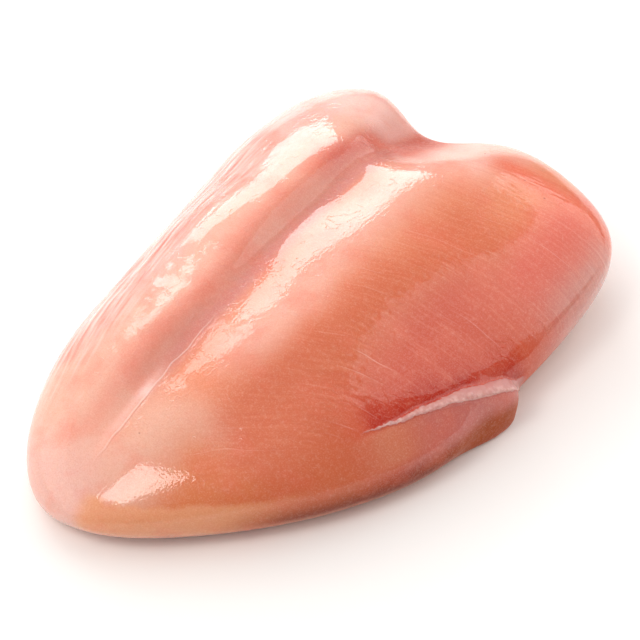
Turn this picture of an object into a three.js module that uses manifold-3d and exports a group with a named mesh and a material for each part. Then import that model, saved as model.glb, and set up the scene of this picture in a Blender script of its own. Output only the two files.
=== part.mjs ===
// A raw chicken breast, whole and skinless, lying on its flat underside.
// Two plump lobes are joined along a central groove that opens into a notch between their
// rounded heads. The end of the lower muscle shows as a flap under the near lobe.
// Millimetres, +Z up. The tip points to -Y, the heads to +Y, and the near lobe lies on the +X side.

import * as THREE from "three";
import { mergeVertices } from "three/addons/utils/BufferGeometryUtils.js";
import Module from "manifold-3d";

const { lerp } = THREE.MathUtils;

// Length of the meat
const TIP_Y = -97;
const HEAD_Y = 98.5;

// Cross-sections at six stations, evenly spaced from the tip to the heads.
// Each width is measured from the groove to the lobe's widest line, which lies at the rim height.
// The groove is steep on the far lobe's side and slopes up gently on the near lobe's side.
const NEAR_WIDTH = [43, 64, 74, 79, 91, 119];
const FAR_WIDTH = [43, 44.5, 45, 47.5, 58, 71];
const CREST_HEIGHT = [26, 34.5, 41, 43, 42, 38];
const NEAR_RIM_HEIGHT = [11, 11.5, 9.5, 13.5, 19, 18.5];
const FAR_RIM_HEIGHT = [7, 7.5, 7.5, 8, 13.5, 23];
const UNDERSIDE_DROP = [11, 13, 15, 15, 15, 15];
const GROOVE_X = [-14.5, -15, -13.5, -15.5, -14.5, -15];
const GROOVE_DEPTH = [0, 2.8, 5, 6.5, 5.5, 13];
const NEAR_GROOVE_HALF_WIDTH = [10, 11, 13, 18.5, 16, 18];
const FAR_GROOVE_HALF_WIDTH = [7, 5, 6, 5.5, 7, 13];

// Roundness of the ends, seen from above and from the side: 2 is an ellipse, and more is blunter
const TIP_BLUNTNESS = 2.2;
const HEAD_BLUNTNESS = 2.4;
const TIP_TOP_BLUNTNESS = 2.2;
const HEAD_TOP_BLUNTNESS = 3;

// Roundness of the sections: 1 is an ellipse, less is squarer and more slopes away
const NEAR_SHOULDER = [0.95, 1.0, 1.15, 1.1, 0.9, 0.85];
const FAR_SHOULDER = 0.97;
const UNDERSIDE_SHOULDER = 0.9;

// The notch between the two heads, and the share of the length where it starts
const NOTCH_DEPTH = 12.5;
const NOTCH_HALF_WIDTH = 19;
const NOTCH_START = 0.1;

// The flap under the near lobe. Its four stations run from the end that merges with the body,
// towards the tip, to the free corner. Foot and edge are how far it reaches out from its middle
// line at the base and at its top. Waist is the share of the height where it is widest.
const FLAP_MIDDLE = new THREE.Vector3(49, -9, 0);
const FLAP_HALF_LENGTH = 28;
const FLAP_TURN = THREE.MathUtils.degToRad(-25);
const FLAP_FOOT = [11, 10.5, 9, 6.5];
const FLAP_EDGE = [7.5, 7.5, 7, 10];
const FLAP_HEIGHT = [24.5, 24, 21.5, 18.5];
const FLAP_WAIST = 0.3;
const FLAP_BLUNTNESS = 4.4;

// Soft unevenness of the top: height, wavelength and direction of each swell
const SWELLS = [
  { height: 0.5, length: 61, turn: 20 },
  { height: 0.4, length: 43, turn: 105 },
  { height: 0.3, length: 29, turn: 160 },
];

// Edge divisions of the icosahedron that each solid starts from
const BODY_DETAIL = 20;
const FLAP_DETAIL = 7;

const MEAT = new THREE.MeshStandardMaterial({ color: 0xe8957a, roughness: 0.35, metalness: 0 });

// Smooth value through evenly spaced stations, for t from -1 at the first to 1 at the last
function alongStations(values, t) {
  const last = values.length - 1;
  const place = THREE.MathUtils.clamp((t + 1) / 2, 0, 1) * last;
  const i = Math.min(Math.floor(place), last - 1);
  const f = place - i;
  const b = values[i];
  const c = values[i + 1];
  const a = i > 0 ? values[i - 1] : 2 * b - c;
  const d = i + 1 < last ? values[i + 2] : 2 * c - b;
  const slope = c - a;
  const bend = 2 * a - 5 * b + 4 * c - d;
  const twist = 3 * b - a - 3 * c + d;
  return b + 0.5 * f * (slope + f * (bend + f * twist));
}

// Power that keeps the sign, for the rounded box of the flap
function signedPower(value, power) {
  return Math.sign(value) * Math.abs(value) ** power;
}

// Bell that is 1 at the middle and fades over the given half-width
function bell(distance, halfWidth) {
  return Math.exp(-((distance / halfWidth) ** 2));
}

// How full a section is at t: 0 at the end of the meat, 1 in the middle
function fullness(t, bluntness) {
  return (1 - Math.abs(t) ** bluntness) ** (1 / bluntness);
}

// Height of the soft unevenness at a place seen from above
function swell(x, y) {
  let sum = 0;
  for (const { height, length, turn } of SWELLS) {
    const angle = THREE.MathUtils.degToRad(turn);
    const distance = x * Math.cos(angle) + y * Math.sin(angle);
    sum += height * Math.sin((2 * Math.PI * distance) / length);
  }
  return sum;
}

// Where a point of the unit sphere goes on the meat: t runs from -1 at the tip to 1 at the heads,
// and across and up are its direction round the section. The sphere's Y runs along the meat.
function sectionPlace(p) {
  const end = p.y < 0 ? TIP_BLUNTNESS : HEAD_BLUNTNESS;
  const t = Math.sign(p.y) * (1 - (1 - Math.min(Math.abs(p.y), 1)) ** (end / 2));
  const ring = Math.hypot(p.x, p.z);
  return { t, end, across: ring > 0 ? p.x / ring : 0, up: ring > 0 ? p.z / ring : 0 };
}

// Height of the upper surface: a dome over the rim with the groove carved along it
function topHeight(t, up, reach, rim, full, shoulder) {
  const dome = rim + (alongStations(CREST_HEIGHT, t) - rim) * full * up ** shoulder;
  const carve = alongStations(GROOVE_DEPTH, t) * full * THREE.MathUtils.smoothstep(up, 0, 0.5);
  const halfWidths = reach > 0 ? NEAR_GROOVE_HALF_WIDTH : FAR_GROOVE_HALF_WIDTH;
  return dome - carve * bell(reach, alongStations(halfWidths, t));
}

// Height of the underside, which would bulge below the table and is pressed flat against it
function undersideHeight(t, up, rim, full) {
  const drop = rim + alongStations(UNDERSIDE_DROP, t);
  return Math.max(rim - drop * full * (-up) ** UNDERSIDE_SHOULDER, 0);
}

function bodyPoint(p) {
  const { t, end, across, up } = sectionPlace(p);
  const nearShare = 0.5 + 0.5 * across;
  const width = alongStations(across > 0 ? NEAR_WIDTH : FAR_WIDTH, t);
  const shoulder = lerp(FAR_SHOULDER, alongStations(NEAR_SHOULDER, t), nearShare);
  const reach = width * fullness(t, end) * signedPower(across, shoulder);
  const x = alongStations(GROOVE_X, t) + reach;

  const notch = NOTCH_DEPTH * bell(reach, NOTCH_HALF_WIDTH);
  const length = (HEAD_Y - TIP_Y) / 2;
  const y = TIP_Y + length * (t + 1) - notch * THREE.MathUtils.smoothstep(t, NOTCH_START, 1);

  const rim = lerp(alongStations(FAR_RIM_HEIGHT, t), alongStations(NEAR_RIM_HEIGHT, t), nearShare);
  const full = fullness(t, p.y < 0 ? TIP_TOP_BLUNTNESS : HEAD_TOP_BLUNTNESS);
  if (up <= 0) {
    return new THREE.Vector3(x, y, undersideHeight(t, up, rim, full));
  }
  const z = topHeight(t, up, reach, rim, full, shoulder) + swell(x, y) * full * up;
  return new THREE.Vector3(x, y, Math.max(z, 0));
}

// Place on the flap of a point of the unit sphere: a rounded box, cut off flat at the table,
// whose outer face leans from the foot to the edge
function flapPoint(p) {
  const power = 2 / FLAP_BLUNTNESS;
  const ring = Math.hypot(p.x, p.y);
  const spread = ring ** power;
  const outward = ring > 0 ? spread * signedPower(p.x / ring, power) : 0;
  const t = ring > 0 ? spread * signedPower(p.y / ring, power) : 0;
  const rise = Math.max(FLAP_WAIST + (1 - FLAP_WAIST) * signedPower(p.z, power), 0);
  const reach = lerp(alongStations(FLAP_FOOT, t), alongStations(FLAP_EDGE, t), rise);
  const z = alongStations(FLAP_HEIGHT, t) * rise;
  return new THREE.Vector3(reach * outward, FLAP_HALF_LENGTH * t, z)
    .applyAxisAngle(new THREE.Vector3(0, 0, 1), FLAP_TURN)
    .add(FLAP_MIDDLE);
}

// Closed mesh of a sphere whose points are moved by the given function
function pushedSphere(detail, place) {
  const sphere = new THREE.IcosahedronGeometry(1, detail);
  sphere.deleteAttribute("normal");
  sphere.deleteAttribute("uv");
  const geometry = mergeVertices(sphere, 1e-5);
  const position = geometry.attributes.position;
  const point = new THREE.Vector3();
  for (let i = 0; i < position.count; i += 1) {
    point.fromBufferAttribute(position, i).normalize();
    const moved = place(point);
    position.setXYZ(i, moved.x, moved.y, moved.z);
  }
  return geometry;
}

function toSolid(wasm, geometry) {
  const merged = mergeVertices(geometry, 1e-4);
  const mesh = new wasm.Mesh({
    numProp: 3,
    vertProperties: Float32Array.from(merged.attributes.position.array),
    triVerts: Uint32Array.from(merged.index.array),
  });
  return new wasm.Manifold(mesh);
}

function toGeometry(solid) {
  const mesh = solid.getMesh();
  const geometry = new THREE.BufferGeometry();
  geometry.setAttribute("position", new THREE.BufferAttribute(mesh.vertProperties, 3));
  geometry.setIndex(new THREE.BufferAttribute(mesh.triVerts, 1));
  return geometry;
}

// Puts the middle of the base at the origin
function centreOnBase(geometry) {
  geometry.computeBoundingBox();
  const middle = geometry.boundingBox.getCenter(new THREE.Vector3());
  geometry.translate(-middle.x, -middle.y, -geometry.boundingBox.min.z);
  return geometry;
}

async function chickenBreast() {
  const wasm = await Module();
  wasm.setup();
  const body = toSolid(wasm, pushedSphere(BODY_DETAIL, bodyPoint));
  const flap = toSolid(wasm, pushedSphere(FLAP_DETAIL, flapPoint));
  const geometry = centreOnBase(toGeometry(body.add(flap)));
  const mesh = new THREE.Mesh(geometry, MEAT);
  mesh.name = "chicken_breast";
  return mesh;
}

const group = new THREE.Group();
group.add(await chickenBreast());

export default group;
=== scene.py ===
# %% [markdown]
# # A raw chicken breast
#
# The piece is a whole skinless breast: two plump lobes of the large breast muscle, joined along
# a groove, with the end of the lower muscle showing as a flap under the near lobe. It is one
# piece of flesh, so it is one mesh here too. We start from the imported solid, which has the true
# size and the main shape, and turn its flat facets into wet, living-looking meat.
#
# All lengths below are in millimetres, in the comments and in the named sizes. Blender works in
# metres, so one factor, MM, turns the first into the second.

# %% Load the frame
import math

import bpy
import numpy as np
from mathutils import Matrix, Vector, noise


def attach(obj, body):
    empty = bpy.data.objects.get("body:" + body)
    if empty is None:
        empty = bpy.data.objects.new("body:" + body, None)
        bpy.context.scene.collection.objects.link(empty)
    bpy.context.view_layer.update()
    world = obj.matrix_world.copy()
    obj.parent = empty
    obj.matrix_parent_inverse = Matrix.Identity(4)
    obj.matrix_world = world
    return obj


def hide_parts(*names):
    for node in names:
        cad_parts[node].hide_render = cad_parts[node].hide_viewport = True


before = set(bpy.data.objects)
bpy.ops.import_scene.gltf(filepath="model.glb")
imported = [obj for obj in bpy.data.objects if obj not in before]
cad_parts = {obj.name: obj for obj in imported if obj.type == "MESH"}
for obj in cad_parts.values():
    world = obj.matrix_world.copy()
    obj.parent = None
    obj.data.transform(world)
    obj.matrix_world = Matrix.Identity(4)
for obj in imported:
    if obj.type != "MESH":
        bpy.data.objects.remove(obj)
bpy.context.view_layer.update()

MM = 0.001

# %% [markdown]
# ## The camera
#
# The viewing angle decides which forms and which reflections show, so the camera comes first.
# It looks down at 45 degrees over the near lobe, from beyond the tip. A long lens from half a
# metre away keeps the perspective calm, as a food photographer would. The distance follows from
# how many pixels a millimetre should take in a picture 640 pixels wide.

# %% Camera
VIEW_AZIMUTH = math.radians(36)
VIEW_ELEVATION = math.radians(45)
VIEW_TARGET = Vector((3.6, -0.2, 18.4)) * MM
LENS, SENSOR = 100, 36
PICTURE_WIDTH = 640
PIXELS_PER_MM = 3.37

camera = bpy.data.objects.new("camera", bpy.data.cameras.new("camera"))
bpy.context.scene.collection.objects.link(camera)
bpy.context.scene.camera = camera
camera.data.lens = LENS
camera.data.sensor_width = SENSOR
camera.data.clip_start = 10 * MM
back = Vector((
    math.sin(VIEW_AZIMUTH) * math.cos(VIEW_ELEVATION),
    -math.cos(VIEW_AZIMUTH) * math.cos(VIEW_ELEVATION),
    math.sin(VIEW_ELEVATION),
))
view_distance = PICTURE_WIDTH * LENS / SENSOR / PIXELS_PER_MM * MM
camera.location = VIEW_TARGET + back * view_distance
camera.rotation_euler = (-back).to_track_quat("-Z", "Y").to_euler()
print("the camera stands", round(view_distance, 3), "m from the meat")

# %% [markdown]
# ## Colours and nodes
#
# Colours are written as sRGB hex values, as a colour picker gives them. Shaders add light in
# linear numbers, so one function converts them. A second one adds a node with its settings and
# links, and hands back an output to link on from. Inputs are named or counted from 0. In a Map
# Range node 0 is the value, 1 and 2 are the range it comes from, and 3 and 4 the range it is
# turned into. In a Mix node 0 is the share, and 6 and 7 are the two colours.

# %% Colours and nodes
def linear(hex_colour):
    """The linear RGBA of an sRGB hex colour such as #F2C3B0."""
    channels = [int(hex_colour[i:i + 2], 16) / 255 for i in (1, 3, 5)]
    return [c / 12.92 if c <= 0.04045 else ((c + 0.055) / 1.055) ** 2.4 for c in channels] + [1]


def add(tree, kind, inputs, output=0, **settings):
    """Adds a node with settings, and inputs that are numbers or links, and gives one output."""
    node = tree.nodes.new("ShaderNode" + kind)
    for name, value in settings.items():
        setattr(node, name, value)
    for socket, value in inputs.items():
        if isinstance(value, bpy.types.NodeSocket):
            tree.links.new(value, node.inputs[socket])
        else:
            node.inputs[socket].default_value = value
    return node.outputs[output]


print("white is", linear("#FFFFFF"))

# %% [markdown]
# ## The floor
#
# The floor is a matt pale table top, large enough to fill every view from above. It is matt, so
# that it shows no lamps, and it throws soft light up at the meat's sides.

# %% Floor
FLOOR_COLOUR = "#F4F2F0"
FLOOR_ROUGHNESS = 0.7
FLOOR_RADIUS = 3000

bpy.ops.mesh.primitive_circle_add(vertices=64, radius=FLOOR_RADIUS * MM, fill_type="NGON")
floor = bpy.context.object
floor.name = "floor"
table_top = bpy.data.materials.new("matt_table_top")
table_top.use_nodes = True
table_shader = table_top.node_tree.nodes["Principled BSDF"]
table_shader.inputs["Base Color"].default_value = linear(FLOOR_COLOUR)
table_shader.inputs["Roughness"].default_value = FLOOR_ROUGHNESS
floor.data.materials.append(table_top)
print("the floor is", 2 * FLOOR_RADIUS, "mm across")

# %% [markdown]
# ## Room light
#
# The room is bright on the left and overhead and dim on the right. It lifts the shadows, and it
# is what the wet surface mirrors wherever no lamp stands. So its brightness is made to follow
# the direction: how far a direction agrees with the bright side sets the strength.

# %% Room light
ROOM_DARK, ROOM_BRIGHT = 0.2, 1.15
BRIGHT_SIDE = Vector((-0.62, -0.25, 0.74)).normalized()
ROOM_FADE_START = -0.1

room = bpy.data.worlds.new("dim_room")
room.use_nodes = True
bpy.context.scene.world = room
towards = add(room.node_tree, "TexCoord", {}, "Generated")
facing = add(room.node_tree, "VectorMath", {0: towards, 1: BRIGHT_SIDE}, "Value", operation="DOT_PRODUCT")
fade = {0: facing, 1: ROOM_FADE_START, 2: 1.0, 3: ROOM_DARK, 4: ROOM_BRIGHT}
glow = add(room.node_tree, "MapRange", fade, interpolation_type="SMOOTHSTEP")
background = room.node_tree.nodes["Background"]
background.inputs["Color"].default_value = linear("#FFFFFF")
room.node_tree.links.new(glow, background.inputs["Strength"])
bpy.context.scene.view_settings.view_transform = "Standard"
print("the room's brightness goes from", ROOM_DARK, "to", ROOM_BRIGHT)

# %% [markdown]
# ## Softboxes
#
# Wet meat is a bumpy mirror: its bright patches are pictures of the lamps, and their edges are
# the lamps' edges. So each lamp is placed for the patch it has to make.
#
# * A bright softbox behind the left side is mirrored along the top of the far lobe and again
#   along the slope that rises from the groove.
# * A smaller one next to it gives the scraps of reflection further down both lobes.
# * A small one above the tip makes the patch there.
# * A large dim one leans over the right side and gives the broad soft sheen with its clear edge.
# * A dim one in front on the left keeps the tip pale.
#
# What a mirror image shows is the lamp's radiance, so the power follows from that and the area.
# Each line below gives a lamp's name, its place, the point it faces, its two sides, its turn,
# its radiance and its colour.

# %% Softboxes
def softbox(name, position, aim, size, turn, radiance, colour):
    """A rectangular lamp at a position, facing a point and turned about that line, in degrees."""
    outward = (Vector(position) - Vector(aim)).normalized()
    sideways = outward.cross(Vector((0, 0, 1))).normalized()
    sideways.rotate(Matrix.Rotation(math.radians(turn), 3, -outward))
    upward = outward.cross(sideways)
    lamp = bpy.data.lights.new(name, "AREA")
    lamp.shape = "RECTANGLE"
    lamp.size, lamp.size_y = size[0] * MM, size[1] * MM
    lamp.energy = radiance * math.pi * lamp.size * lamp.size_y
    lamp.color = linear(colour)[:3]
    holder = bpy.data.objects.new(name, lamp)
    bpy.context.scene.collection.objects.link(holder)
    holder.matrix_world = Matrix((sideways, upward, outward)).transposed().to_4x4()
    holder.location = Vector(position) * MM
    holder.visible_camera = False
    print(name, "gives", round(lamp.energy, 2), "W")


softbox("left_softbox", (-393, 331, 264), (0, 10, 30), (356, 188), -19, 4.6, "#FFFFFF")
softbox("scrap_softbox", (-486, 93, 434), (-92, -229, 200), (180, 215), -43, 3.8, "#FFFFFF")
softbox("tip_softbox", (-37, -268, 417), (0, -60, 20), (140, 140), 0, 8, "#FFF8F2")
softbox("right_softbox", (437, 523, 243), (435, 353, -47), (905, 740), -29, 1.45, "#FFF8F4")
softbox("front_softbox", (-426, -410, 269), (-10, -60, 15), (700, 350), 0, 0.8, "#FFF8F4")

# %% [markdown]
# ## From facets to one soft skin
#
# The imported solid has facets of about 3.5 mm, and a hard seam where the flap joins. A voxel
# remesh lays an even net of small squares over it, and a smooth modifier relaxes the net until
# the facets are gone. The net is fine enough for the low relief below and stays under 200,000
# triangles. We work on a copy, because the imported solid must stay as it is.

# %% Remesh and relax
VOXEL = 0.83
RELAX_STEPS = 16

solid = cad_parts["chicken_breast"]
meat = bpy.data.objects.new("chicken_breast_meat", solid.data.copy())
bpy.context.scene.collection.objects.link(meat)
net = meat.modifiers.new("net", "REMESH")
net.mode = "VOXEL"
net.voxel_size = VOXEL * MM
relax = meat.modifiers.new("relax", "SMOOTH")
relax.factor = 0.5
relax.iterations = RELAX_STEPS


def apply_modifiers(thing):
    """Makes what the modifiers show the object's own mesh."""
    bpy.context.view_layer.update()
    shown = thing.evaluated_get(bpy.context.evaluated_depsgraph_get())
    mesh = bpy.data.meshes.new_from_object(shown)
    thing.modifiers.clear()
    thing.data = mesh


apply_modifiers(meat)
print("the net has", len(meat.data.polygons), "squares")

# %% [markdown]
# ## Measuring along the meat
#
# Everything that follows, relief and colour alike, is placed by distances on the meat itself:
# how far a point lies from the groove, or from the edge of the flap. So we read all points and
# their directions as arrays in millimetres, and write a few small helpers. Soft random bumps
# come from a noise function, which gives the same result each time.

# %% Points and helpers
def read_points():
    """The meat's points in millimetres and its unit normals, as arrays of three columns."""
    points = np.empty(3 * len(meat.data.vertices), np.float32)
    normals = np.empty_like(points)
    meat.data.vertices.foreach_get("co", points)
    meat.data.vertex_normals.foreach_get("vector", normals)
    return points.reshape(-1, 3).astype(float) / MM, normals.reshape(-1, 3).astype(float)


def smooth(low, high, value):
    """0 below low, 1 above high, and a soft step between. Low may be the larger one."""
    t = np.clip((value - low) / (high - low), 0, 1)
    return t * t * (3 - 2 * t)


def bell(distance, half_width):
    """1 in the middle, fading over the half-width."""
    return np.exp(-(distance / half_width) ** 2)


def bumps(points, size, seed):
    """Soft random heights from -1 to 1. Size is a bump's length in mm, along x, y and z."""
    scaled = points / np.asarray(size, float) + 17.3 * seed
    return np.fromiter((noise.noise(p) for p in scaled.tolist()), float, len(scaled))


points, normals = read_points()
print("the net has", len(points), "points")

# %% [markdown]
# ## The flap's own directions
#
# The end of the lower muscle comes out slantwise from under the near lobe. So the flap has its
# own directions: along its length, and outward from it. Its upper edge is the slit line, which
# a few stations along it give. How far a point lies below that line is measured outward and
# downward together.

# %% Flap directions
FLAP_MIDDLE = np.array([49.2, -8.5])
FLAP_TURN = math.radians(25)
FLAP_ALONG = np.array([math.sin(FLAP_TURN), math.cos(FLAP_TURN)])
FLAP_OUT = np.array([math.cos(FLAP_TURN), -math.sin(FLAP_TURN)])
SLIT_ALONG = [-24, -13.5, -3, 7.3, 17.5, 24, 29]
SLIT_OUT = [4.2, 4.1, 2.7, 2.2, 1.9, 2.0, 1.6]
SLIT_HEIGHT = [24, 23.5, 23.2, 21.8, 19.9, 17.9, 15]


def flap_place(points):
    """How far points lie along the flap, outward from its middle, and below its slit line."""
    along = (points[:, :2] - FLAP_MIDDLE) @ FLAP_ALONG
    outward = (points[:, :2] - FLAP_MIDDLE) @ FLAP_OUT
    drop = np.interp(along, SLIT_ALONG, SLIT_HEIGHT) - points[:, 2]
    return along, outward, outward - np.interp(along, SLIT_ALONG, SLIT_OUT) + drop


along, outward, below = flap_place(points)
print("the slit line is", SLIT_ALONG[-1] - SLIT_ALONG[0], "mm long")

# %% [markdown]
# ## Melting the flap into the lobe
#
# Deep below the slit line, towards the end that is grown together, the flap should melt into
# the lobe without a seam. The solid's facets are longest in the notch between the heads, so it
# gets half of the same treatment. A vertex group holds these shares, and a smooth modifier
# works on them alone.

# %% Melt the seam
NOTCH_X = -14.6
NOTCH_SHARE = 0.5
MELT_STEPS = 85
GROUP_LEVELS = 10

x, y, z = points.T
seam = smooth(3, 7, below) * smooth(-44, -30, along) * smooth(20, 2, along) * (outward > 0)
in_notch = NOTCH_SHARE * smooth(46, 58, y) * smooth(26, 14, np.abs(x - NOTCH_X))
seam = np.maximum(seam, in_notch * (z > 15))
group = meat.vertex_groups.new(name="seam")
for step in range(1, GROUP_LEVELS + 1):
    share = step / GROUP_LEVELS
    at_share = np.flatnonzero(np.abs(seam - share) < 0.5 / GROUP_LEVELS)
    group.add(at_share.tolist(), share, "REPLACE")
melt = meat.modifiers.new("melt", "SMOOTH")
melt.vertex_group = group.name
melt.factor = 0.5
melt.iterations = MELT_STEPS
apply_modifiers(meat)
meat.vertex_groups.clear()
points, normals = read_points()
x, y, z = points.T
print("the seam covers", int((seam > 0.5).sum()), "of", len(points), "points")

# %% [markdown]
# ## The groove
#
# The groove between the lobes is a shallow valley, with the thin line of the membrane where
# the two muscles meet. The solid has the valley. Here we add the line: a fine crease that
# fades in below the middle and out before the tip, a little on the near side of the valley's
# lowest point. Its place across the meat is read between a few stations, as in the solid, and
# it wanders by up to about a millimetre.

# %% Groove
GROOVE_Y = [-96.5, -57.4, -18.3, 20.8, 59.9, 90]
GROOVE_X = [-14.4, -14.9, -13.4, -15.4, -14.4, -14.9]
CREASE_OFFSET = 2.0
CREASE_DEPTH = 0.15
CREASE_HALF_WIDTH = 0.7

from_groove = x - np.interp(y, GROOVE_Y, GROOVE_X)
wobble = 0.9 * bumps(points, (60, 9, 60), 1) + 0.5 * bumps(points, (60, 3.5, 60), 13)
from_crease = from_groove - CREASE_OFFSET - wobble
crease_share = smooth(-86, -70, y) * smooth(-24, -40, y) * (normals[:, 2] > 0.5)
crease = CREASE_DEPTH * crease_share * bell(from_crease, CREASE_HALF_WIDTH)
print("the crease is", round(crease.max(), 2), "mm deep")

# %% [markdown]
# ## The edge of the flap
#
# Where the lower muscle comes out from under the near lobe, the lobe's surface dips behind a
# ragged lip of torn membrane. Just above the slit line it sinks into a fine furrow inside a
# broad shallow dip, and just below the line the lip stands up. The lip is a hair broad at its
# start and 4 to 5 mm at the far end. Its breadths are counted outward and downward together, as
# the distance below the line is.

# %% Lip
LIP_BREADTH = [0.4, 1.6, 3.2, 4.4, 5.2, 5.2, 5.2]
LIP_RISE = 0.55
FURROW_DEPTH = 0.35
DIP_DEPTH = 0.45

along, outward, below = flap_place(points)
ragged = 0.9 * bumps(points, 5.5, 2) + 0.35 * bumps(points, 1.8, 3)
below += ragged * smooth(-24, -8, along)
lip_breadth = np.interp(along, SLIT_ALONG, LIP_BREADTH)
near_slit = smooth(-27, -21, along) * smooth(34, 28, along) * (outward > -12) * (z > 4)
lip = near_slit * smooth(-0.5, 0.3, below) * smooth(lip_breadth + 0.7, lip_breadth - 0.3, below)
lip_rise = LIP_RISE * lip * smooth(-26, 0, along) * (1 + 0.5 * bumps(points, 1.6, 4))
slit_sink = FURROW_DEPTH * bell(below + 0.9, 0.9) + DIP_DEPTH * bell(below + 1, 4.5)
slit_sink *= near_slit * smooth(-24, -2, along)
print("the lip has", int((lip > 0.5).sum()), "points")

# %% [markdown]
# ## Low relief of the membrane
#
# Muscle under membrane isn't smooth. It swells gently, it is pressed a little flat along the
# far lobe's crest, and the near lobe's head has a low swell, over which the broad sheen ends.
# None of it is as deep as a millimetre, but a wet surface shows it at once, because every slope
# bends the reflections.

# %% Swells
SWELL_SIZE, SMALL_SWELL_SIZE = (16, 26, 16), (8, 14, 8)
SWELL_HEIGHT, SMALL_SWELL_SHARE = 0.06, 0.4
HEAD_SWELL_PLACE = (19, 60)
HEAD_SWELL_HEIGHT, HEAD_SWELL_RADIUS = 0.7, 12
PRESSED_OFFSET, PRESSED_DEPTH, PRESSED_HALF_WIDTH = -12, 0.75, 8

upper = smooth(-0.2, 0.4, normals[:, 2])
swell = bumps(points, SWELL_SIZE, 5) + SMALL_SWELL_SHARE * bumps(points, SMALL_SWELL_SIZE, 6)
swells = SWELL_HEIGHT * swell * upper
from_head_swell = np.hypot(x - HEAD_SWELL_PLACE[0], y - HEAD_SWELL_PLACE[1])
head_swell = HEAD_SWELL_HEIGHT * bell(from_head_swell, HEAD_SWELL_RADIUS) * upper
pressed = PRESSED_DEPTH * bell(from_groove - PRESSED_OFFSET, PRESSED_HALF_WIDTH)
pressed *= smooth(-46, -26, y) * smooth(60, 40, y)
print("the far crest is pressed in by", round(pressed.max(), 2), "mm")

# %% [markdown]
# ## Wrinkles and buckles
#
# The membrane gathers in fine wrinkles where the far lobe curves down, and buckles where it is
# loose, towards the tip. The wrinkles run with the meat, so their noise is long in y and short
# round the flank. A slanting mix of x and z measures the way round.

# %% Wrinkles and buckles
WRINKLE_LENGTH, WRINKLE_BREADTH, WRINKLE_HEIGHT = 16, 2.0, 0.3
BUCKLE_SIZE, BUCKLE_HEIGHT = (4, 5, 4), 0.16

round_flank = 0.75 * x + 0.66 * z
wrinkle_cells = np.stack([round_flank / WRINKLE_BREADTH, y / WRINKLE_LENGTH, 0 * y], axis=1)
flank = smooth(-14, -24, from_groove) * smooth(-0.2, -0.6, normals[:, 0])
flank *= smooth(66, 40, y) * smooth(-84, -40, y)
wrinkles = WRINKLE_HEIGHT * flank * bumps(wrinkle_cells, 1, 7)
loose = smooth(-16, -30, y) * smooth(-60, -50, y) * smooth(16, 10, from_groove) * upper
buckles = BUCKLE_HEIGHT * loose * bumps(points, BUCKLE_SIZE, 12)
print("wrinkles cover", round(100 * float((flank > 0.5).mean()), 1), "% of the points")

# %% [markdown]
# ## Moving the points
#
# All of the relief is a height along the surface's own direction, so it adds up. Each point
# moves once, and none may sink below the table.

# %% Move the points
relief = swells + wrinkles + buckles + head_swell - pressed + lip_rise - slit_sink - crease
moved = points + normals * relief[:, None]
moved[:, 2] = np.maximum(moved[:, 2], 0)
meat.data.vertices.foreach_set("co", (moved * MM).astype(np.float32).ravel())
meat.data.update()
meat.data.shade_smooth()
print("relief from", round(relief.min(), 2), "to", round(relief.max(), 2), "mm")
points, normals = read_points()
x, y, z = points.T

# %% [markdown]
# ## Zones of colour
#
# Breast meat is pale pink where the membrane is thick and orange where the flesh lies bare. A
# few zones are painted light and shade instead: the deep red above the slit, the darkest parts
# low down, a glint in the groove and the table's reflection, and each one says so below. We
# store one number from 0 to 1 at each point for each such zone, worked out from the distances
# above, and the material mixes a tint over each. A later zone covers an earlier one. A little
# noise on the distances keeps the borders uneven.

# %% Borders and helpers
uneven = 5 * bumps(points, 26, 8) + 2 * bumps(points, 9, 9)
side = from_groove + 0.5 * uneven
near = smooth(-4, 3, side)
far = 1 - near
level = smooth(0.3, 0.8, normals[:, 2])
tints = {}


def paint(name, values):
    """Stores one number, or one place, at every point for the material to read."""
    is_place = values.ndim == 2
    attribute = meat.data.attributes.new(name, "FLOAT_VECTOR" if is_place else "FLOAT", "POINT")
    attribute.data.foreach_set("vector" if is_place else "value", values.astype(np.float32).ravel())


def zone(name, tint, share):
    """Stores how far a tint covers each point, from 0 to 1, and remembers the tint."""
    covered = np.clip(share, 0, 1)
    paint(name, covered)
    tints[name] = tint
    print(name, "covers", round(100 * float(covered.mean()), 1), "% of the points")


print("the borders wander by up to", round(float(np.abs(uneven).max()), 1), "mm")

# %% [markdown]
# ### The far lobe, the groove and the heads
#
# The far lobe keeps its membrane, so it is pale pink, and a little pinker down its flank. Both
# slopes beside the groove keep theirs too: the near one is nearly as pale, and the far one is
# redder, with a blush near the head. The groove's floor is a duskier pink, partly its own tint
# and partly painted shade where it lies low between the lobes. The two heads are paler than all
# of these.

# %% Far lobe, groove and heads
zone("far_lobe", "#E2A994", far)
near_slope = bell(side - 17, 10) * smooth(-50, -30, y + uneven) * smooth(78, 55, y)
zone("near_slope", "#E0A18D", near_slope)
far_slope = bell(side + 7, 5) * smooth(-84, -70, y + uneven) * smooth(56, 36, y)
zone("far_slope", "#E08D78", far_slope)
zone("far_blush", "#CC6656", bell(side + 6, 6) * smooth(30, 44, y) * smooth(80, 64, y))
zone("far_flank", "#E0A598", smooth(-16, -28, side))
zone("far_head", "#EFBDB2", far * smooth(58, 76, y + uneven))
near_head = near * smooth(48, 70, y + 0.5 * uneven) * smooth(30, 12, x + 0.5 * uneven)
zone("near_head", "#EAB09F", near_head)
# Partly painted shade: the groove's floor is darkened where it lies low between the lobes.
zone("groove", "#C97C70", bell(from_groove - 0.5, 3.5) * smooth(-86, -36, y) * level)
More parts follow.
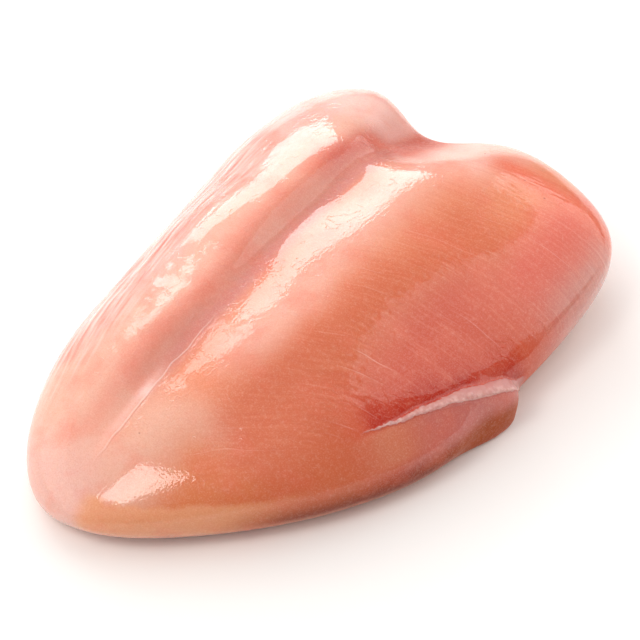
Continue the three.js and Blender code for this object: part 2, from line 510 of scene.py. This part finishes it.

# %% [markdown]
# ### The bare flesh of the near lobe
#
# On the near lobe's outer side the flesh lies bare. It is orange, then a deep orange red towards
# the flap and coral towards the head. Its rim by the head is a dusky pink, which is partly a
# painted sheen where the broad reflection falls short. An orange red streak of painted shade
# runs over the back of the head, in the gap between two reflections. The notch between the
# heads is brick red, which is partly painted shade in the recess.

# %% Bare flesh
low_orange = near * smooth(8, 22, x + uneven - 0.12 * y) * smooth(60, 40, y + uneven)
zone("low_orange", "#CE6842", low_orange)
deep = smooth(24, 42, x + uneven) * smooth(-48, -26, y) * smooth(40, 18, y + uneven)
zone("deep", "#C94B2B", deep)
zone("coral", "#D3573F", smooth(34, 48, x + uneven) * smooth(16, 40, y + uneven))
# Partly painted sheen: the right-facing rim is paler where the broad reflection falls short.
zone("near_rim_sheen", "#CC887C", smooth(0.35, 0.75, normals[:, 0]) * smooth(22, 50, y))
# Painted shade: an orange red streak in the gap between the head's two reflections.
near_streak_shade = bell(y - 76 - 0.3 * uneven, 6) * smooth(8, 22, x) * smooth(-0.1, 0.3, normals[:, 2])
zone("near_streak_shade", "#DE6A4C", near_streak_shade)
# Partly painted shade: the notch between the heads is darkened to brick red in the recess.
notch = 0.85 * bell(side - 4, 10) * smooth(48, 68, y + uneven) * smooth(8, 30, z + uneven)
zone("notch", "#AE4533", notch)

# %% [markdown]
# ### The tip
#
# The lobes thin out towards the tip and run together in one pale tint. The near side keeps an
# orange patch, and the far side of the very tip is a little pinker. A pale band of membrane
# follows the crease on its far side, and a small whitish glint in the groove is a painted
# highlight.

# %% Tip
tipward = smooth(-44, -66, y + uneven) * smooth(24, 4, x + uneven) * (1 - 0.7 * bell(side + 4, 7))
zone("tipward", "#DCA58F", tipward)
zone("tip_orange", "#D37441", bell(x - 16 + uneven, 13) * smooth(-56, -68, y + uneven))
zone("tip", "#DCA799", smooth(-72, -90, y + uneven) * smooth(-3, -13, x + uneven))
crease_band = 0.7 * crease_share * smooth(-46, -56, y) * bell(from_crease + 1.6, 1.5)
zone("crease_band", "#EFB6A8", crease_band)
# Painted highlight: a small whitish glint in the groove.
zone("groove_glint", "#F6D8CF", bell(y + 58, 2.5) * bell(from_groove - 0.6, 1.3))

# %% [markdown]
# ### The slit and the flap
#
# The lobe is painted deep red above the slit, as shade where it curves in towards the lip. The
# flap is a dusky red under the lip, orange pink at the end that is grown together, and rust
# brown low down. Where its end towards the tip meets the table it is darkest, with painted
# shade.

# %% Slit and flap
on_flap = outward > 0
# Painted shade: deep red just above the slit line, where the lobe curves in.
zone("slit_shade", "#B8260F", near_slit * bell(np.minimum(below, 0), 10) * smooth(0.6, -0.6, below))
flap = smooth(-24, -4, along) * smooth(36, 32, along) * smooth(0, 2, below)
zone("flap", "#C66C62", flap * on_flap)
flap_root = bell(along + 19, 10) * smooth(0, 3, below) * smooth(12, 17, z)
zone("flap_root", "#D27A5C", flap_root * on_flap)
flap_low = smooth(-20, -4, along) * smooth(15, 8, z + 0.4 * uneven)
zone("flap_low", "#A84818", flap_low * on_flap)
# Painted shade: the flap is darkest where its end meets the table.
flap_foot_shade = smooth(-26, -12, along) * smooth(10, -6, along) * smooth(7, 3, z + 0.3 * uneven)
zone("flap_foot_shade", "#8A3418", flap_foot_shade * on_flap)

# %% [markdown]
# ### Near the table
#
# A tan band runs low along the near side, from the tip to the flap: a painted reflection of
# the table in the wet film. Next to the flap the side turns under the meat, and goes dark brown
# close to the table with painted shade. The underside is out of sight, and is plain pink. A
# finer noise keeps the band's upper edge ragged.

# %% Low down
rough = 0.7 * bumps(points, (5, 3, 3), 10) + 0.4 * bumps(points, (2, 1.5, 1.5), 11)
# Painted reflection: the tan band stands for the table mirrored in the wet film.
low_front = smooth(-12, -6, x) * smooth(30, 10, y)
table_reflection_band = low_front * smooth(17.4, 15.9, z + rough) * smooth(58, 44, x - 0.3 * y)
zone("table_reflection_band", "#E0966C", table_reflection_band)
# Painted shade: dark brown close to the table, next to the flap.
zone("low_painted_shade", "#7A301A", smooth(16, 6, z) * smooth(20, 40, x) * smooth(-6, -24, y))
zone("underside", "#E0A18A", smooth(-0.2, -0.7, normals[:, 2]))

# %% [markdown]
# ## Places for the fine detail
#
# The fibres, and the fine parts of the wrinkles, the crease and the lip, are smaller than the
# net's squares, so the material draws them. It needs to know where they are: how far a point
# lies from the crease, how deep inside the lip, and its place along and across the fibres.
# These run in wide arcs round a point beyond the tip, on the flap's side. One radius for all of
# them turns the angle round that point into a length.

# %% Places
FIBRE_CENTRE = np.array([73, -126])
FIBRE_RADIUS = 130

to_centre = points[:, :2] - FIBRE_CENTRE
across_fibres = np.hypot(to_centre[:, 0], to_centre[:, 1]) + 0.4 * uneven
along_fibres = FIBRE_RADIUS * np.arctan2(to_centre[:, 0], to_centre[:, 1])
paint("fibre_place", np.stack([along_fibres, across_fibres, 0 * y], axis=1))
paint("flank_place", np.stack([round_flank, y, 0 * y], axis=1))
paint("flank", flank)
paint("bare", near * smooth(-4, 24, x + uneven) * smooth(-0.5, -4, below) * smooth(14, 22, z))
paint("from_crease", from_crease)
paint("crease_pale", crease_share)
paint("crease_dark", crease_share * smooth(-52, -60, y))
paint("lip_depth", below)
paint("lip_breadth", lip_breadth)
paint("near_slit", near_slit)
print("the net carries", len(meat.data.attributes), "attributes")

# %% [markdown]
# ## Where the film is frayed
#
# The film of water lies calm on most of the meat, and its reflections have clean edges there.
# It is broken where the membrane is loose: on the two sides of the far crest near the head, in
# the notch, along both edges of the near lobe's reflection, where both reflections run out
# towards the tip, and round the tip itself. A share above 1 is a rougher film still.

# %% Frayed film
MOST_FRAYED = 2.2

below_head = smooth(-4, 16, y) * smooth(70, 56, y)
far_fray = 1.8 * (bell(side + 7, 3) + bell(side + 20, 3.5)) * below_head
near_fray = 2.0 * bell(side - 19, 5) * smooth(-30, -14, y) * smooth(70, 58, y)
near_inner_fray = 0.7 * bell(side - 9, 2.5) * smooth(32, 42, y) * smooth(72, 62, y)
notch_fray = 2.2 * bell(from_groove - 2, 9) * smooth(56, 62, y)
end_fray = 1.2 * smooth(-14, -28, y) * smooth(-64, -52, y)
end_fray *= smooth(24, 16, side) * smooth(-30, -22, side)
tip_fray = bell(x - 12, 9) * bell(y + 79, 7) + 0.6 * bell(x - 1, 6) * bell(y + 88, 4)
frayed = far_fray + near_fray + near_inner_fray + notch_fray + end_fray + tip_fray
frayed = np.clip(frayed, 0, MOST_FRAYED) * level
paint("frayed", frayed)
print("the film is frayed on", round(100 * float((frayed > 0.5).mean()), 1), "% of the points")

# %% [markdown]
# ## Where the film is fine, brushed or drained
#
# At the tip the film's ripples are finer. Where the broad sheen ends, the film is brushed along
# the fibres. Low on the near side, on the flap and in the notch the meat stands steep, and the
# water has run down to the table, so that little of the film is left.

# %% Fine, brushed and drained film
paint("tip_film", bell(x - 3, 16) * smooth(-66, -72, y))
paint("brushed", bell(x - 30, 9) * smooth(-52, -42, y) * smooth(86, 74, y))
low_side = smooth(18, 9, z) * smooth(0.45, 0.1, normals[:, 2]) * smooth(10, 30, x) * smooth(50, 30, y)
steep_notch = bell(from_groove - 6, 11) * smooth(56, 64, y)
drained = np.maximum(low_side, steep_notch)
paint("drained", drained)
print("the film has drained from", round(100 * float((drained > 0.5).mean()), 1), "% of the points")

# %% [markdown]
# ## Raw flesh under a wet film
#
# Light enters flesh, scatters and comes out some millimetres away, red furthest, so the
# material is partly subsurface. Over it lies a film of water, protein and a little fat, which
# is a coat: clear, nearly smooth and with an IOR between those of water, 1.33, and fat, 1.5.
# Its weight of 1 stands for a full film, and the material's last step lowers it where the water
# has drained.

# %% Flesh
FLESH = "#DC825D"
WET_FLESH = {
    "Subsurface Weight": 0.4,
    "Subsurface Radius": (1.0, 0.35, 0.2),
    "Subsurface Scale": 3.0 * MM,
    "Roughness": 0.5,
    "IOR": 1.38,
    "Specular IOR Level": 0.1,
    "Coat Weight": 1.0,
    "Coat Roughness": 0.012,
    "Coat IOR": 1.48,
}

flesh = bpy.data.materials.new("raw_breast_under_wet_film")
flesh.use_nodes = True
tree = flesh.node_tree
shader = tree.nodes["Principled BSDF"]
for socket, value in WET_FLESH.items():
    shader.inputs[socket].default_value = value
meat.data.materials.clear()
meat.data.materials.append(flesh)
place = add(tree, "TexCoord", {}, "Object")
print("the film's IOR is", WET_FLESH["Coat IOR"])

# %% [markdown]
# ### Layers of colour
#
# A layer is a share and a tint. The zones come first, in the order in which they overlap, and
# the details after them. Each cell below adds its own layers to the list, and a short loop at
# the end mixes them all into one colour.

# %% Layers of the zones
layers = []
for name, tint in tints.items():
    layers.append((add(tree, "Attribute", {}, "Fac", attribute_name=name), tint))
print("the flesh has", len(tints), "tints")

# %% [markdown]
# ### Mottling
#
# Up close the colour is never even. Soft patches about a centimetre long lean to red. Pale
# flecks of a millimetre show where fibres end under the membrane, and a grain of less than half
# a millimetre, lighter and darker, runs through all of it. Real grain is finer still, but would
# not show.

# %% Mottling
MOTTLE_SIZE, MOTTLE_SHARE = 12, 0.45
FLECK_SIZE, FLECK_SHARE = 1.2, 0.1
GRAIN_SIZE, LIGHT_GRAIN_SHARE, DARK_GRAIN_SHARE = 0.4, 0.14, 0.2

mottle = add(tree, "TexNoise", {"Vector": place, "Scale": 1 / (MOTTLE_SIZE * MM), "Detail": 3.0})
reddened = add(tree, "MapRange", {0: mottle, 1: 0.5, 2: 0.75, 3: 0.0, 4: MOTTLE_SHARE})
layers.append((reddened, "#DB6A50"))
fleck = add(tree, "TexNoise", {"Vector": place, "Scale": 1 / (FLECK_SIZE * MM), "Detail": 2.0})
paled = add(tree, "MapRange", {0: fleck, 1: 0.5, 2: 0.72, 3: 0.0, 4: FLECK_SHARE})
layers.append((paled, "#F5BFA8"))
grain = add(tree, "TexNoise", {"Vector": place, "Scale": 1 / (GRAIN_SIZE * MM), "Detail": 2.0})
lightened = add(tree, "MapRange", {0: grain, 1: 0.5, 2: 0.75, 3: 0.0, 4: LIGHT_GRAIN_SHARE})
layers.append((lightened, "#F8D2C0"))
darkened = add(tree, "MapRange", {0: grain, 1: 0.5, 2: 0.25, 3: 0.0, 4: DARK_GRAIN_SHARE})
layers.append((darkened, "#C4583F"))
print("the grain is", GRAIN_SIZE, "mm")

# %% [markdown]
# ### Fibres
#
# The muscle's fibres show on the bare side of the near lobe as faint strands, paler and redder
# by turns. A strand is a bundle of fibres about a millimetre broad. The strands are drawn as
# noise that is long along the fibres and short across them, and they stop where the membrane
# still covers the flesh.

# %% Strands
STRAND_BREADTH, STRAND_LENGTH = 0.9, 16
PALE_STRAND_SHARE, RED_STRAND_SHARE = 0.2, 0.22

bare = add(tree, "Attribute", {}, "Fac", attribute_name="bare")
fibre_place = add(tree, "Attribute", {}, "Vector", attribute_name="fibre_place")
strand_scale = (1 / STRAND_LENGTH, 1 / STRAND_BREADTH, 1)
strand_place = add(tree, "VectorMath", {0: fibre_place, 1: strand_scale}, operation="MULTIPLY")
strand = add(tree, "TexNoise", {"Vector": strand_place, "Scale": 1.0, "Detail": 3.0})
pale_strand = add(tree, "MapRange", {0: strand, 1: 0.5, 2: 0.8, 3: 0.0, 4: PALE_STRAND_SHARE})
red_strand = add(tree, "MapRange", {0: strand, 1: 0.5, 2: 0.25, 3: 0.0, 4: RED_STRAND_SHARE})
for share, tint in ((pale_strand, "#F0A284"), (red_strand, "#C24E30")):
    layers.append((add(tree, "Math", {0: share, 1: bare}, operation="MULTIPLY"), tint))
print("a strand is", STRAND_BREADTH, "mm broad")

# %% [markdown]
# ### Pale lines between the fibres
#
# Here and there a pale hair-thin line of connective tissue runs between the fibres and fades in
# and out. The lines lie in rows, so a ping-pong of the place across the fibres gives the
# distance to the nearest row, and a slow noise decides where each one lives. They are 0.35 mm
# broad here, a little coarser than real, so that they show.

# %% Pale lines
LINE_SPACING, LINE_BREADTH, LINE_LENGTH = 3.1, 0.35, 20
LINE_SHARE = 0.3

across = add(tree, "SeparateXYZ", {0: fibre_place}, "Y")
phase = add(tree, "Math", {0: across, 1: LINE_SPACING}, operation="DIVIDE")
row = add(tree, "Math", {0: phase, 1: 0.5}, operation="PINGPONG")
half_line = 0.5 * LINE_BREADTH / LINE_SPACING
line = add(tree, "MapRange", {0: row, 1: 0.3 * half_line, 2: 1.4 * half_line, 3: 1.0, 4: 0.0})
line_scale = (1 / LINE_LENGTH, 0.8 / LINE_SPACING, 1)
line_place = add(tree, "VectorMath", {0: fibre_place, 1: line_scale}, operation="MULTIPLY")
life = add(tree, "TexNoise", {"Vector": line_place, "Scale": 1.0, "Detail": 1.0})
alive = add(tree, "MapRange", {0: life, 1: 0.56, 2: 0.8, 3: 0.0, 4: LINE_SHARE})
line_share = add(tree, "Math", {0: line, 1: alive}, operation="MULTIPLY")
layers.append((add(tree, "Math", {0: line_share, 1: bare}, operation="MULTIPLY"), "#F9CDBE"))
print("the lines lie", LINE_SPACING, "mm apart")

# %% [markdown]
# ### Wrinkles on the flank
#
# On the far flank the gathered membrane is white on its ridges and lets red flesh through
# between them. The noise has nearly the size of the wrinkles in the mesh, and the film uses it
# again below for its height.

# %% Wrinkles
RIDGE_SHARE, VALLEY_SHARE = 0.55, 0.75

on_flank = add(tree, "Attribute", {}, "Fac", attribute_name="flank")
round_and_along = add(tree, "Attribute", {}, "Vector", attribute_name="flank_place")
wrinkle_scale = (1 / (0.8 * WRINKLE_BREADTH), 1 / WRINKLE_LENGTH, 1)
wrinkle_place = add(tree, "VectorMath", {0: round_and_along, 1: wrinkle_scale}, operation="MULTIPLY")
wrinkle = add(tree, "TexNoise", {"Vector": wrinkle_place, "Scale": 1.0, "Detail": 2.5})
ridge = add(tree, "MapRange", {0: wrinkle, 1: 0.52, 2: 0.68, 3: 0.0, 4: RIDGE_SHARE})
valley = add(tree, "MapRange", {0: wrinkle, 1: 0.47, 2: 0.34, 3: 0.0, 4: VALLEY_SHARE})
for share, tint in ((ridge, "#FAE0D9"), (valley, "#D86B5B")):
    layers.append((add(tree, "Math", {0: share, 1: on_flank}, operation="MULTIPLY"), tint))
print("a wrinkle is about", 0.8 * WRINKLE_BREADTH, "mm broad")

# %% [markdown]
# ### The crease's two lines
#
# In the groove a whitish line of membrane runs beside a fine dark one, which is the crease's
# shadow. Each row below gives the line's attribute, its distance from the crease, its
# half-width, its strongest share and its tint.

# %% Crease lines
CREASE_LINES = (
    ("crease_pale", -0.3, 0.3, 0.35, "#F8DDD5"),
    ("crease_dark", 0.3, 0.25, 0.4, "#B65A50"),
)

crease_distance = add(tree, "Attribute", {}, "Fac", attribute_name="from_crease")
for name, middle, half_width, most, tint in CREASE_LINES:
    line_end = add(tree, "Attribute", {}, "Fac", attribute_name=name)
    offset = add(tree, "Math", {0: crease_distance, 1: middle}, operation="SUBTRACT")
    distance = add(tree, "Math", {0: offset}, operation="ABSOLUTE")
    limits = {0: distance, 1: 0.3 * half_width, 2: half_width, 3: most, 4: 0.0}
    crease_line = add(tree, "MapRange", limits, interpolation_type="SMOOTHSTEP")
    layers.append((add(tree, "Math", {0: crease_line, 1: line_end}, operation="MULTIPLY"), tint))
print("the crease has", len(CREASE_LINES), "lines")

# %% [markdown]
# ### Specks
#
# Here and there a pinprick of blood remains. A Voronoi texture cuts space into cells with one
# random point in each. Three in ten of these points are specks, and such a speck shows where its
# point lies within half a millimetre of the surface.

# %% Specks
SPECK_SPACING, SPECK_RADIUS = 9, 0.45
SPECK_ODDS, SPECK_SHARE = 0.3, 0.75

cells = add(tree, "TexVoronoi", {"Vector": place, "Scale": 1 / (SPECK_SPACING * MM)}).node
lot = add(tree, "SeparateColor", {0: cells.outputs["Color"]})
has_speck = add(tree, "Math", {0: lot, 1: SPECK_ODDS}, operation="LESS_THAN")
speck_edge = SPECK_RADIUS / SPECK_SPACING
speck_dot = {0: cells.outputs["Distance"], 1: 0.4 * speck_edge, 2: speck_edge, 3: SPECK_SHARE, 4: 0.0}
speck = add(tree, "MapRange", speck_dot)
layers.append((add(tree, "Math", {0: speck, 1: has_speck}, operation="MULTIPLY"), "#8E2A1C"))
print("a speck is at most", 2 * SPECK_RADIUS, "mm across")

# %% [markdown]
# ### The lip of torn membrane
#
# The lip's two edges are torn more finely than the net could show. The depth below the slit line
# was measured at the points, and a noise of about half a millimetre, added to it, tears both
# edges. The same noise serves again below as the lip's coarse, dry-looking grain.

# %% Where the lip is
TEAR_SIZE, TEAR_REACH = 1.4, 1.1

at_slit = add(tree, "Attribute", {}, "Fac", attribute_name="near_slit")
depth = add(tree, "Attribute", {}, "Fac", attribute_name="lip_depth")
breadth = add(tree, "Attribute", {}, "Fac", attribute_name="lip_breadth")
tear = add(tree, "TexNoise", {"Vector": place, "Scale": 1 / (TEAR_SIZE * MM), "Detail": 3.0})
jitter = add(tree, "Math", {0: tear, 1: 2 * TEAR_REACH, 2: -TEAR_REACH}, operation="MULTIPLY_ADD")
torn_depth = add(tree, "Math", {0: depth, 1: jitter}, operation="ADD")
inside = add(tree, "Math", {0: breadth, 1: torn_depth}, operation="SUBTRACT")
entered = add(tree, "MapRange", {0: torn_depth, 1: -0.25, 2: 0.05, 3: 0.0, 4: 1.0})
not_left = add(tree, "MapRange", {0: inside, 1: -0.1, 2: 0.25, 3: 0.0, 4: 1.0})
between_edges = add(tree, "Math", {0: entered, 1: not_left}, operation="MULTIPLY")
lip_share = add(tree, "Math", {0: between_edges, 1: at_slit}, operation="MULTIPLY")
print("the lip's edges are torn by about", 0.5 * TEAR_REACH, "mm")

# %% [markdown]
# ### The lip's tints
#
# The lip is mauve where it lies in the slit and whitish towards its free edge, and the white is
# grainy. A thin red line of painted shade lies just beneath that edge, so the red comes first and
# the lip is laid over it.

# %% Tints of the lip
# Painted shade: a thin red line just beneath the lip's free edge.
under = add(tree, "MapRange", {0: inside, 1: -0.9, 2: -0.2, 3: 0.0, 4: 0.5})
shade_under_lip = add(tree, "Math", {0: under, 1: at_slit}, operation="MULTIPLY")
layers.append((add(tree, "Math", {0: shade_under_lip, 1: entered}, operation="MULTIPLY"), "#B2463A"))
layers.append((lip_share, "#C4837C"))
whitened = add(tree, "MapRange", {0: inside, 1: 3.2, 2: 0.8, 3: 0.0, 4: 0.6})
grainy = add(tree, "MapRange", {0: tear, 1: 0.4, 2: 0.62, 3: 0.25, 4: 1.0})
white_share = add(tree, "Math", {0: whitened, 1: grainy}, operation="MULTIPLY")
layers.append((add(tree, "Math", {0: white_share, 1: lip_share}, operation="MULTIPLY"), "#EBC5BC"))
print("with the lip there are", len(layers), "layers")

# %% [markdown]
# ### Mixing the layers
#
# The flesh's own colour lies at the bottom, and each layer is mixed over what is there by its
# share. One loop does it, because every layer is made of the same two things.

# %% Mix
colour = linear(FLESH)
for share, tint in layers:
    colour = add(tree, "Mix", {0: share, 6: colour, 7: linear(tint)}, 2, data_type="RGBA")
tree.links.new(colour, shader.inputs["Base Color"])
print("the colour mixes", len(layers), "layers")

# %% [markdown]
# ### Ripples of the film
#
# The film's unevenness is a height in millimetres that each cell below adds to. It starts with
# ripples one to three millimetres across. They are so shallow on the calm parts that they only
# just move a reflection's edge, and fray it where the membrane is loose. Finer ones are added
# at the tip.

# %% Ripples
RIPPLE_BREADTH, RIPPLE_LENGTH = 1.1, 2.6
CALM_HEIGHT, FRAYED_HEIGHT = 0.016, 0.055
TIP_RIPPLE, TIP_HEIGHT = 0.8, 0.03

fray = add(tree, "Attribute", {}, "Fac", attribute_name="frayed")
ripple_scale = (1 / (RIPPLE_BREADTH * MM), 1 / (RIPPLE_LENGTH * MM), 1 / (RIPPLE_BREADTH * MM))
ripple_place = add(tree, "VectorMath", {0: place, 1: ripple_scale}, operation="MULTIPLY")
ripple = add(tree, "TexNoise", {"Vector": ripple_place, "Scale": 1.0, "Detail": 2.0})
ripple_height = add(tree, "Math", {0: fray, 1: FRAYED_HEIGHT, 2: CALM_HEIGHT}, operation="MULTIPLY_ADD")
height = add(tree, "Math", {0: ripple, 1: ripple_height}, operation="MULTIPLY")

tip_film = add(tree, "Attribute", {}, "Fac", attribute_name="tip_film")
tip_ripple = add(tree, "TexNoise", {"Vector": place, "Scale": 1 / (TIP_RIPPLE * MM), "Detail": 1.0})
tip_height = add(tree, "Math", {0: tip_film, 1: TIP_HEIGHT}, operation="MULTIPLY")
height = add(tree, "Math", {0: tip_ripple, 1: tip_height, 2: height}, operation="MULTIPLY_ADD")
print("a calm ripple is at most", CALM_HEIGHT, "mm high")

# %% [markdown]
# ### Brushed film
#
# Where the broad sheen ends, its edge is drawn out along the fibres. The same kind of noise as
# for the strands does it. The real streaks are as fine as the fibres, and are drawn broader
# here, so that they show.

# %% Brushed film
BRUSH_LENGTH, BRUSH_BREADTH, BRUSH_HEIGHT = 3.5, 1.5, 0.2

brushed = add(tree, "Attribute", {}, "Fac", attribute_name="brushed")
brush_scale = (1 / BRUSH_LENGTH, 1 / BRUSH_BREADTH, 1)
brush_place = add(tree, "VectorMath", {0: fibre_place, 1: brush_scale}, operation="MULTIPLY")
brush = add(tree, "TexNoise", {"Vector": brush_place, "Scale": 1.0, "Detail": 0.5})
brush_height = add(tree, "Math", {0: brushed, 1: BRUSH_HEIGHT}, operation="MULTIPLY")
height = add(tree, "Math", {0: brush, 1: brush_height, 2: height}, operation="MULTIPLY_ADD")
print("the brushed film is at most", BRUSH_HEIGHT, "mm high")

# %% [markdown]
# ### Folds
#
# Folds are fine curled lines in the film. A noise crosses its middle value along such lines, so
# the distance from that value draws them, and a slower noise lets them live only here and
# there. The finely rippled tip has none.

# %% Folds
FOLD_SIZE, FOLD_HALF_BREADTH, FOLD_HEIGHT = 4.0, 0.045, 0.03

fold_noise = add(tree, "TexNoise", {"Vector": place, "Scale": 1 / (FOLD_SIZE * MM), "Detail": 2.0})
from_fold = add(tree, "Math", {0: fold_noise, 1: 0.5}, operation="SUBTRACT")
fold_distance = add(tree, "Math", {0: from_fold}, operation="ABSOLUTE")
fold_line = {0: fold_distance, 1: 0.0, 2: FOLD_HALF_BREADTH, 3: FOLD_HEIGHT, 4: 0.0}
fold = add(tree, "MapRange", fold_line, interpolation_type="SMOOTHSTEP")
fold_life = add(tree, "TexNoise", {"Vector": place, "Scale": 0.6 / (FOLD_SIZE * MM), "Detail": 0.0})
fold_alive = add(tree, "MapRange", {0: fold_life, 1: 0.5, 2: 0.6, 3: 0.0, 4: 1.0})
fold_share = add(tree, "Math", {0: fold_alive, 1: tip_film}, operation="SUBTRACT", use_clamp=True)
height = add(tree, "Math", {0: fold, 1: fold_share, 2: height}, operation="MULTIPLY_ADD")
print("a fold is", FOLD_HEIGHT, "mm high")

# %% [markdown]
# ### Pits
#
# Pits are dimples where a bubble or the end of a fibre breaks the film. They are placed as the
# specks are, but closer together, and their height is negative.

# %% Pits
PIT_SPACING, PIT_RADIUS, PIT_DEPTH = 2.8, 0.36, 0.05
PIT_ODDS = 0.25

pit_cells = add(tree, "TexVoronoi", {"Vector": place, "Scale": 1 / (PIT_SPACING * MM)}).node
pit_lot = add(tree, "SeparateColor", {0: pit_cells.outputs["Color"]})
has_pit = add(tree, "Math", {0: pit_lot, 1: PIT_ODDS}, operation="LESS_THAN")
pit_edge = PIT_RADIUS / PIT_SPACING
pit_bowl = {0: pit_cells.outputs["Distance"], 1: 0.3 * pit_edge, 2: pit_edge, 3: -PIT_DEPTH, 4: 0.0}
pit = add(tree, "MapRange", pit_bowl, interpolation_type="SMOOTHSTEP")
height = add(tree, "Math", {0: pit, 1: has_pit, 2: height}, operation="MULTIPLY_ADD")
print("a pit is", PIT_DEPTH, "mm deep")

# %% [markdown]
# ### One bump for all
#
# The wrinkles of the flank and the grain of the lip add their heights last. A single bump node
# turns the sum into tilted directions, for the film and for the flesh below it, with one
# millimetre of height as its unit.

# %% Bump
FLANK_HEIGHT = 0.18
LIP_GRAIN = 0.25

wrinkle_height = add(tree, "Math", {0: on_flank, 1: FLANK_HEIGHT}, operation="MULTIPLY")
height = add(tree, "Math", {0: wrinkle, 1: wrinkle_height, 2: height}, operation="MULTIPLY_ADD")
lip_height = add(tree, "Math", {0: lip_share, 1: LIP_GRAIN}, operation="MULTIPLY")
height = add(tree, "Math", {0: tear, 1: lip_height, 2: height}, operation="MULTIPLY_ADD")
film = add(tree, "Bump", {"Height": height, "Strength": 1.0, "Distance": MM})
tree.links.new(film, shader.inputs["Coat Normal"])
tree.links.new(film, shader.inputs["Normal"])
print("the lip's grain is at most", LIP_GRAIN, "mm high")

# %% [markdown]
# ### Less film where it has drained
#
# The coat's weight is the share of the surface that the film covers: all of it on top, and a
# fifth where the water has run off. So the flesh's own colour shows there, and not a grey
# mirror image of the table.

# %% Drained film
DRY_SHARE = 0.8

dry = add(tree, "Attribute", {}, "Fac", attribute_name="drained")
wet = add(tree, "Math", {0: dry, 1: -DRY_SHARE, 2: 1.0}, operation="MULTIPLY_ADD")
tree.links.new(wet, shader.inputs["Coat Weight"])
print("the flesh material has", len(tree.nodes), "nodes")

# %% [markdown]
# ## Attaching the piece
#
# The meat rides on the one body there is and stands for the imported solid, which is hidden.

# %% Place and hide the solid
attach(meat, "root")
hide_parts("chicken_breast")
